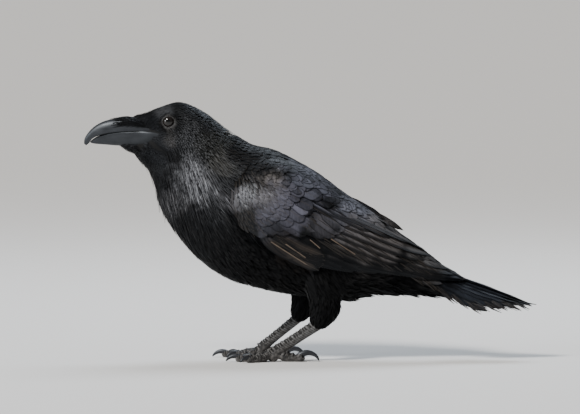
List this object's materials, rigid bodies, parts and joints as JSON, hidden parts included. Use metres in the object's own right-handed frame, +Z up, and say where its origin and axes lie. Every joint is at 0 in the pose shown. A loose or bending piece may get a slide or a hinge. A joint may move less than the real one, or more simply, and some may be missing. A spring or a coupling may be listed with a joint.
{
  "type": "common raven, standing model",
  "caption": "Life-size model of a common raven standing with closed bill and folded wings, facing -X.",
  "frame": {"origin": "on the floor, under the middle of the bird's length and width", "axes": "-X the way the bill points, +Y the bird's right side, +Z up"},
  "size_m": [0.5702, 0.1328, 0.3274],
  "materials": {
    "plumage": "black feathers with a soft satin sheen",
    "flight_feathers": "black feathers with a bluish-violet gloss",
    "bill_horn": "dark slate-grey horn, satin",
    "claw_horn": "near-black horn, satin",
    "leg_skin": "grey-brown scaled skin",
    "eye": "wet, dark brown"
  },
  "bodies": {
    "root": {"head": "plumage", "neck": "plumage", "trunk": "plumage", "bill_upper": "bill_horn", "bill_lower": "bill_horn", "eye_left": "eye", "eye_right": "eye", "wing_left": "flight_feathers", "wing_right": "flight_feathers", "tail": "flight_feathers", "thigh_left": "plumage", "shank_left": "leg_skin", "toe_middle_left": "leg_skin", "claw_middle_left": "claw_horn", "toe_inner_left": "leg_skin", "claw_inner_left": "claw_horn", "toe_outer_left": "leg_skin", "claw_outer_left": "claw_horn", "toe_hallux_left": "leg_skin", "claw_hallux_left": "claw_horn", "thigh_right": "plumage", "shank_right": "leg_skin", "toe_middle_right": "leg_skin", "claw_middle_right": "claw_horn", "toe_inner_right": "leg_skin", "claw_inner_right": "claw_horn", "toe_outer_right": "leg_skin", "claw_outer_right": "claw_horn", "toe_hallux_right": "leg_skin", "claw_hallux_right": "claw_horn"}
  },
  "joints": []
}
